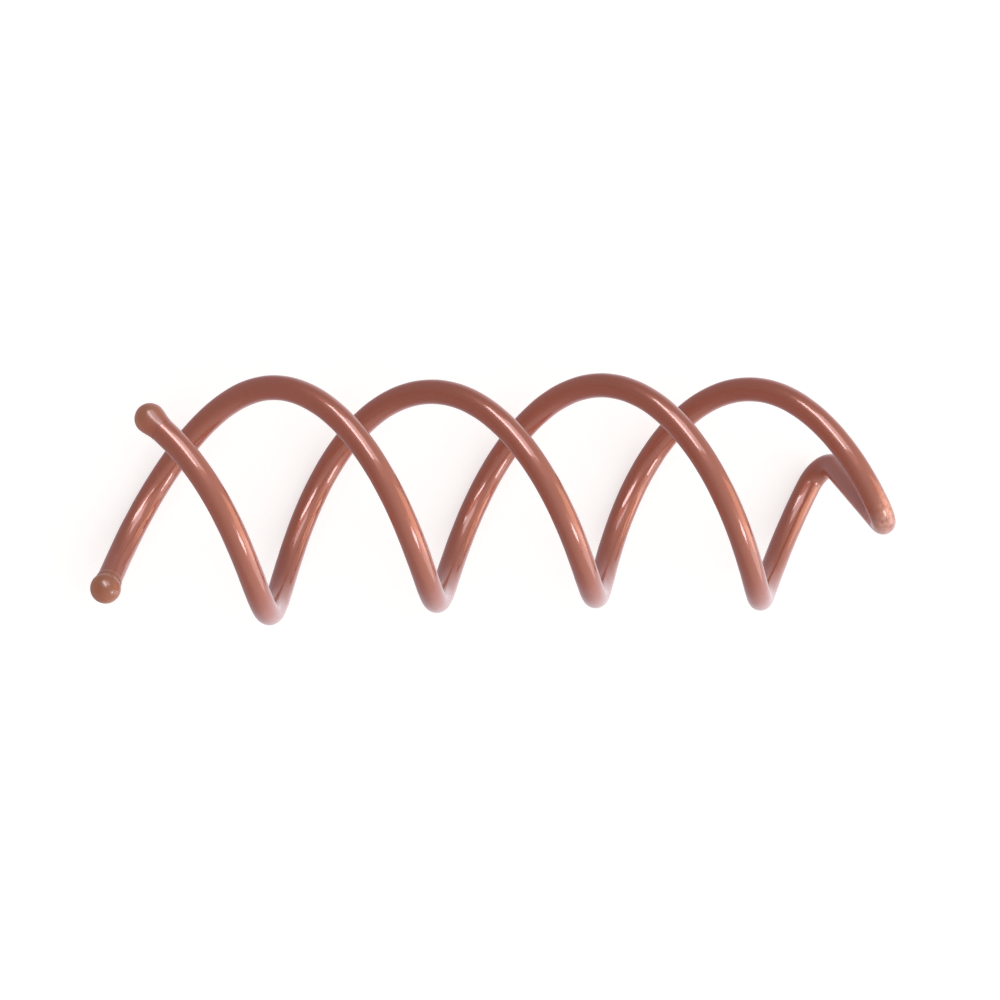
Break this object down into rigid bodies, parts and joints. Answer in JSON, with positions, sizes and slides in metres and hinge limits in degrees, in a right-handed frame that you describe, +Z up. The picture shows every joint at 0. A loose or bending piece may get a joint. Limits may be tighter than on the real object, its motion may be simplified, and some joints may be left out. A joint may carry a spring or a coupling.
{
  "type": "spiral bun pin",
  "caption": "Hair bun pin of one enamelled wire, bent double at a bar and coiled into two corkscrew legs with a ball over each tip.",
  "frame": {"origin": "under the middle of the pin's box, on the plane that its lowest turns rest on", "axes": "+X along the coil from the ball tips to the bar, +Y across it towards the leg that ends high, +Z up as the pin lies"},
  "size_m": [0.0768, 0.0224, 0.0204],
  "materials": {
    "wire_enamel": "glossy reddish brown baked enamel on spring steel wire",
    "tip_resin": "glossy reddish brown resin drop"
  },
  "bodies": {
    "root": {"coil_wire": "wire_enamel", "upper_tip_ball": "tip_resin", "lower_tip_ball": "tip_resin"}
  },
  "joints": []
}
